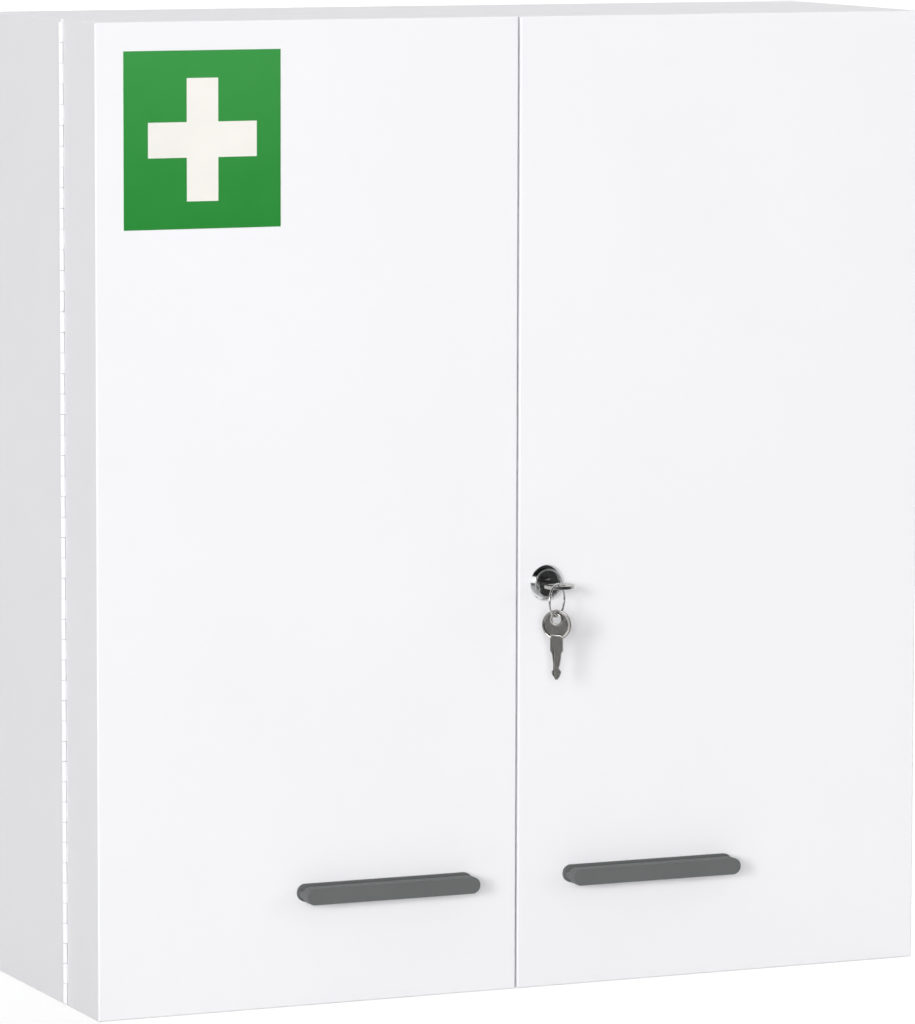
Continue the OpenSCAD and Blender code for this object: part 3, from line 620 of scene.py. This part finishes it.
# Cross sections in millimetres: distance outwards, and height above the key's face
RIM_SECTION = [
    (-0.01, -0.05), (-0.1, 0.1), (-0.3, 0.17), (-0.6, 0.17), (-0.9, 0.1), (-1.3, -0.05), (-1.8, -0.3)]
BOSS_SECTION = [(1.4, -0.3), (1.0, 0.0), (0.7, 0.1), (0.4, 0.12), (0.2, 0.08), (0.06, -0.05)]
SHOULDER_SECTION = [(0.7, -0.3), (0.3, -0.12), (0.0, 0.0), (-0.2, 0.04), (-0.5, -0.02)]
SUNK = -0.35

# How far down a groove's round bottom starts, and how far it sags, as parts of the groove's depth
GROOVE_EDGE, GROOVE_SAG = 0.1, 0.85


def swept(edit, place, path, section, closed):
    """A section of (outwards, height) points, swept along (x, y) points of a placed plane z = 0."""
    count = len(path)
    rows = []
    for i, point in enumerate(path):
        before = path[i - 1] if closed or i else point
        after = path[(i + 1) % count] if closed or i + 1 < count else point
        along = (Vector(after) - Vector(before)).normalized()
        low = [(section[-1][0], SUNK), (section[0][0], SUNK)]
        rows.append([edit.verts.new(place @ Vector((
            point[0] + along.y * out * MM, point[1] - along.x * out * MM, height * MM)))
            for out, height in section + low])
    around = len(rows[0])
    for i in range(count if closed else count - 1):
        here, after = rows[i], rows[(i + 1) % count]
        for k in range(around):
            m = (k + 1) % around
            edit.faces.new((here[k], here[m], after[m], after[k]))
    if not closed:
        edit.faces.new(rows[0])
        edit.faces.new(reversed(rows[-1]))


def arc(centre_y, radius, start, end, steps):
    """Points from one angle to another, in turns, about a point on the key's middle line."""
    angles = [2 * math.pi * (start + (end - start) * k / steps) for k in range(steps + 1)]
    return [(radius * math.cos(angle), centre_y + radius * math.sin(angle)) for angle in angles]


def key_rims(place):
    """A bmesh function for the coined rims of a key's bow, hole and shoulder, on both its faces."""
    half = shoulder_w / 2
    gap = math.asin(half / bow_r) / (2 * math.pi)
    rim = arc(0, bow_r, gap - 0.25, 0.75 - gap, 72)
    boss = arc(key_hole_up, key_hole_r, 0, 1, 48)[:-1]
    top = shoulder_chamfer - shoulder_top
    corner = shoulder_chamfer / 2
    arch = [(half, -shoulder_top), (half - corner, top - corner), (half - shoulder_chamfer, top),
            (shoulder_chamfer - half, top), (corner - half, top - corner), (-half, -shoulder_top)]

    def fill(edit):
        for face in (0, math.pi):
            on_face = place @ Matrix.Rotation(face, 4, "Y") @ Matrix.Translation((0, 0, key_t / 2))
            swept(edit, on_face, rim, RIM_SECTION, False)
            swept(edit, on_face, boss, BOSS_SECTION, True)
            swept(edit, on_face, arch, SHOULDER_SECTION, False)

    return fill


def key_grooves(place):
    """A bmesh function for the round bottoms of the grooves along a key's blade, on both faces."""
    steps = 8
    section = []
    for k in range(steps + 1):
        angle = math.pi * k / steps
        down = groove_depth * (GROOVE_EDGE + GROOVE_SAG * math.sin(angle))
        section.append((-groove_half_w * math.cos(angle), -down))
    foot = -groove_depth - groove_foot_t
    section += [(groove_half_w, foot), (-groove_half_w, foot)]
    ends = (groove_above_shoulder - shoulder_end, groove_short_of_tip - shoulder_end - blade_l)

    def fill(edit):
        for face in (LEFT, RIGHT):
            rows = [
                [edit.verts.new(place @ Vector((groove_x + x, y, face * (key_t / 2 + z))))
                 for x, z in section] for y in ends]
            edit.faces.new(rows[0])
            edit.faces.new(reversed(rows[1]))
            for k in range(len(section)):
                m = (k + 1) % len(section)
                edit.faces.new((rows[0][k], rows[1][k], rows[1][m], rows[0][m]))

    return fill


lock_key_bow = Vector((lock_at[0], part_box("lock_key")[0].y + bow_r, lock_at[1]))
spare_low, spare_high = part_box("spare_key")
spare_middle = (spare_low + spare_high) / 2
spare_bow = Vector((spare_middle.x, spare_middle.y, spare_high.z - bow_r))
lying = Matrix.Rotation(math.pi, 4, "X")
hanging = Matrix.Rotation(-spare_key_turn, 4, "Z") @ Matrix.Rotation(math.pi / 2, 4, "X")
for name, bow, turn in (("lock_key", lock_key_bow, lying), ("spare_key", spare_bow, hanging)):
    place = Matrix.Translation(bow) @ turn
    smooth(piece(f"{name}_rims", key_rims(place), FINISHES["key_nickel"], name))
    smooth(piece(f"{name}_grooves", key_grooves(place), FINISHES["key_nickel"], name))


# ---- First-aid sign ----

cross_w = 69.5 * MM
cross_h = 73.5 * MM
cross_upright_w = 20.1 * MM
cross_bar_h = 21.2 * MM
cross_t = 0.05 * MM
sign_edge_r = 0.08 * MM


def sign_plate(edit):
    right, bottom = sign_left + sign_w, sign_top - sign_h
    outline = [(sign_left, bottom), (right, bottom), (right, sign_top), (sign_left, sign_top)]
    prism(edit, outline, door_low.y - sign_t, door_low.y)


def sign_cross(edit):
    middle = (sign_left + sign_w / 2, sign_top - sign_h / 2)
    outline = cross_outline(middle, (cross_w / 2, cross_h / 2), (cross_upright_w / 2, cross_bar_h / 2))
    prism(edit, outline, door_low.y - sign_t - cross_t, door_low.y - sign_t)


soften(piece("first_aid_sign", sign_plate, SIGN_GREEN, "left_door"), sign_edge_r)
piece("first_aid_cross", sign_cross, SIGN_WHITE, "left_door")


# ---- Floor, light and camera ----

# The floor's side and grey. For the camera it also glows: by FLOOR_GLOW up to FLOOR_NEAR metres from
# the origin, rising to full white at FLOOR_FAR
FLOOR_SIDE = 120.0
FLOOR_GREY = 0.45
FLOOR_GLOW = 0.67
FLOOR_NEAR = 0.6
FLOOR_FAR = 2.6

# The even light on everything
AMBIENT = 0.33
AMBIENT_TINT = (0.985, 0.985, 1.0)

# What metal sees: brightness of each wall, and where it starts and ends along a direction's x, y or z
FLOOR_SEEN = 0.5
FLOOR_EDGE = (-0.32, -0.17)
LEFT_WALL = 1.0
RIGHT_WALL = 0.7
SIDES_MEET = (-0.25, 0.25)
BACK_WALL = 1.0
BACK_WALL_EDGE = (0.3, 0.6)
FRONT_LEFT = 0.15
FRONT_RIGHT = 0.04
FRONT_EDGE = (-0.6, 0.1)
FRONT_WALL_EDGE = (-0.38, -0.2)
CEILING = 0.06
CEILING_EDGE = (0.4, 0.6)
WINDOW = 1.3
WINDOW_SIDE = (-0.6, -0.68)
WINDOW_FOOT = (-0.08, 0.0)
WINDOW_TOP = (0.4, 0.5)

# The key lamp's direction, and the disc that metal sees there: brightness, radius and soft edge
KEY_LAMP = (-47, 10)
LAMP_SEEN = 10.0
LAMP_SEEN_R = 6.5
LAMP_SEEN_EDGE = 3.0

# The photo's camera, from a fit to the cabinet's corners
IMAGE_H = 1024
FOCAL_PX = 6354.0
SENSOR_W = 36.0
CAMERA_AT = (-1.5812, -3.7116, 0.4512)
CAMERA_YAW, CAMERA_PITCH, CAMERA_ROLL = 23.57, 6.70, 0.15


def stage_floor():
    """A pale floor under the cabinet. The camera sees it white, with the shadow near the cabinet."""
    half = FLOOR_SIDE / 2
    mesh = bpy.data.meshes.new("floor")
    corners = [(-half, -half, 0), (half, -half, 0), (half, half, 0), (-half, half, 0)]
    mesh.from_pydata(corners, [], [(0, 1, 2, 3)])
    floor = bpy.data.objects.new("floor", mesh)
    floor.location.z = cad_box[0].z
    bpy.context.scene.collection.objects.link(floor)
    pale = (FLOOR_GREY, FLOOR_GREY, FLOOR_GREY)
    finish = Finish("floor", pale, 0.9)
    finish.vary_color(finish.noise(2), tuple(0.985 * part for part in pale), pale)
    path = finish.node("ShaderNodeLightPath")
    glow = finish.node("ShaderNodeEmission")
    glow.inputs["Color"].default_value = (1.0, 1.0, 1.0, 1.0)
    away = finish.node("ShaderNodeVectorMath", operation="LENGTH")
    finish.link(finish.place, away.inputs[0])
    shown = finish.node("ShaderNodeMath", operation="MULTIPLY")
    finish.link(path.outputs["Is Camera Ray"], shown.inputs[0])
    strength = finish.spread(away.outputs["Value"], FLOOR_GLOW, 1.0, FLOOR_NEAR, FLOOR_FAR)
    finish.link(strength, shown.inputs[1])
    finish.link(shown.outputs["Value"], glow.inputs["Strength"])
    add = finish.node("ShaderNodeAddShader")
    finish.link(finish.shader.outputs["BSDF"], add.inputs[0])
    finish.link(glow.outputs["Emission"], add.inputs[1])
    clear = finish.node("ShaderNodeBsdfTransparent")
    mirrored = finish.node("ShaderNodeMixShader")
    finish.link(path.outputs["Is Glossy Ray"], mirrored.inputs["Fac"])
    finish.link(add.outputs["Shader"], mirrored.inputs[1])
    finish.link(clear.outputs["BSDF"], mirrored.inputs[2])
    finish.link(mirrored.outputs["Shader"], finish.tree.nodes["Material Output"].inputs["Surface"])
    mesh.materials.append(finish.material)


def direction(side_deg, up_deg):
    """Unit vector, side_deg to the right of the cabinet's front and up_deg above the level."""
    side, up = math.radians(side_deg), math.radians(up_deg)
    return Vector((math.sin(side) * math.cos(up), -math.cos(side) * math.cos(up), math.sin(up)))


def studio_world():
    """Even light from all round. Metal sees a dark front and ceiling, a bright left wall and a lamp."""
    world = bpy.data.worlds.new("studio")
    bpy.context.scene.world = world
    world.use_nodes = True
    world.cycles.sampling_method = "NONE"
    tree = world.node_tree
    background = tree.nodes["Background"]

    def between(value, edge, low, high):
        """A soft step from low to high while value crosses edge, a start and an end."""
        made = tree.nodes.new("ShaderNodeMapRange")
        made.interpolation_type = "SMOOTHSTEP"
        for socket, number in zip(("From Min", "From Max", "To Min", "To Max"), (*edge, low, high)):
            made.inputs[socket].default_value = number
        tree.links.new(value, made.inputs["Value"])
        return made.outputs["Result"]

    def combined(kind, first, second):
        made = tree.nodes.new("ShaderNodeMath")
        made.operation = kind
        tree.links.new(first, made.inputs[0])
        tree.links.new(second, made.inputs[1])
        return made.outputs["Value"]

    def chosen(factor, first, second):
        made = tree.nodes.new("ShaderNodeMix")
        made.data_type = "RGBA"
        colors = [socket for socket in made.inputs if socket.type == "RGBA"]
        tree.links.new(factor, made.inputs["Factor"])
        for value, socket in ((first, colors[0]), (second, colors[1])):
            if isinstance(value, tuple):
                socket.default_value = (*value, 1.0)
            else:
                tree.links.new(value, socket)
        return [socket for socket in made.outputs if socket.type == "RGBA"][0]

    place = tree.nodes.new("ShaderNodeTexCoord")
    split = tree.nodes.new("ShaderNodeSeparateXYZ")
    tree.links.new(place.outputs["Generated"], split.inputs["Vector"])
    left_right, back_front, height = (split.outputs[axis] for axis in "XYZ")
    side_walls = combined("MAXIMUM", between(left_right, SIDES_MEET, LEFT_WALL, RIGHT_WALL),
                          between(back_front, BACK_WALL_EDGE, 0.0, BACK_WALL))
    front_wall = between(left_right, FRONT_EDGE, FRONT_LEFT, FRONT_RIGHT)
    behind_front = between(back_front, FRONT_WALL_EDGE, 0.0, 1.0)
    room = combined("MAXIMUM", combined("MULTIPLY", side_walls, behind_front), front_wall)
    room = combined("MULTIPLY", room, between(height, CEILING_EDGE, 1.0, CEILING))
    room = combined("MAXIMUM", room, between(height, FLOOR_EDGE, FLOOR_SEEN, 0.0))
    window = combined("MULTIPLY", between(left_right, WINDOW_SIDE, 0.0, WINDOW),
                      between(height, WINDOW_FOOT, 0.0, 1.0))
    window = combined("MULTIPLY", window, between(height, WINDOW_TOP, 1.0, 0.0))
    room = combined("MAXIMUM", room, window)
    facing_lamp = tree.nodes.new("ShaderNodeVectorMath")
    facing_lamp.operation = "DOT_PRODUCT"
    tree.links.new(place.outputs["Generated"], facing_lamp.inputs[0])
    facing_lamp.inputs[1].default_value = direction(*KEY_LAMP)
    disc_edge = [math.cos(math.radians(r)) for r in (LAMP_SEEN_R + LAMP_SEEN_EDGE, LAMP_SEEN_R)]
    room = combined("MAXIMUM", room, between(facing_lamp.outputs["Value"], disc_edge, 0.0, LAMP_SEEN))
    path = tree.nodes.new("ShaderNodeLightPath")
    even = tuple(AMBIENT * part for part in AMBIENT_TINT)
    mirrored = chosen(path.outputs["Is Glossy Ray"], even, room)
    shown = chosen(path.outputs["Is Camera Ray"], mirrored, (1.0, 1.0, 1.0))
    tree.links.new(shown, background.inputs["Color"])


def soft_lamp(name, side_deg, up_deg, strength, spread_deg, away, seen=False):
    """A round lamp in that direction, away metres off. Metal mirrors it only where it is seen."""
    lamp = bpy.data.lights.new(name, "AREA")
    lamp.shape = "DISK"
    lamp.size = 2 * away * math.tan(math.radians(spread_deg / 2))
    lamp.energy = strength * math.pi * away * away
    made = bpy.data.objects.new(name, lamp)
    towards = direction(side_deg, up_deg)
    made.location = towards * away + Vector((0, door_low.y, 0))
    made.rotation_euler = towards.to_track_quat("Z", "Y").to_euler()
    made.visible_glossy = seen
    bpy.context.scene.collection.objects.link(made)


def studio_light():
    studio_world()
    soft_lamp("key_light", *KEY_LAMP, strength=1.26, spread_deg=16, away=11.0)
    soft_lamp("front_light", -24, 8, strength=1.62, spread_deg=24, away=9.0)
    soft_lamp("right_light", 48, 14, strength=0.2, spread_deg=16, away=11.0, seen=True)
    soft_lamp("top_light", 135, 65, strength=1.36, spread_deg=50, away=9.0)
    soft_lamp("rear_light", 140, 8, strength=0.9, spread_deg=30, away=9.0)


def photo_camera():
    """Long lens from the left front, looking down a little."""
    yaw, pitch, roll = (math.radians(angle) for angle in (CAMERA_YAW, CAMERA_PITCH, CAMERA_ROLL))
    data = bpy.data.cameras.new("camera")
    data.sensor_width = SENSOR_W
    data.lens = FOCAL_PX * SENSOR_W / IMAGE_H
    data.clip_start = 0.1
    data.clip_end = 200
    camera = bpy.data.objects.new("camera", data)
    camera.location = CAMERA_AT
    turn = Matrix.Rotation(-yaw, 3, "Z") @ Matrix.Rotation(math.radians(90) - pitch, 3, "X")
    camera.rotation_euler = (turn @ Matrix.Rotation(roll, 3, "Z")).to_euler()
    bpy.context.scene.collection.objects.link(camera)
    bpy.context.scene.camera = camera


stage_floor()
studio_light()
photo_camera()
bpy.context.scene.view_settings.view_transform = "Standard"
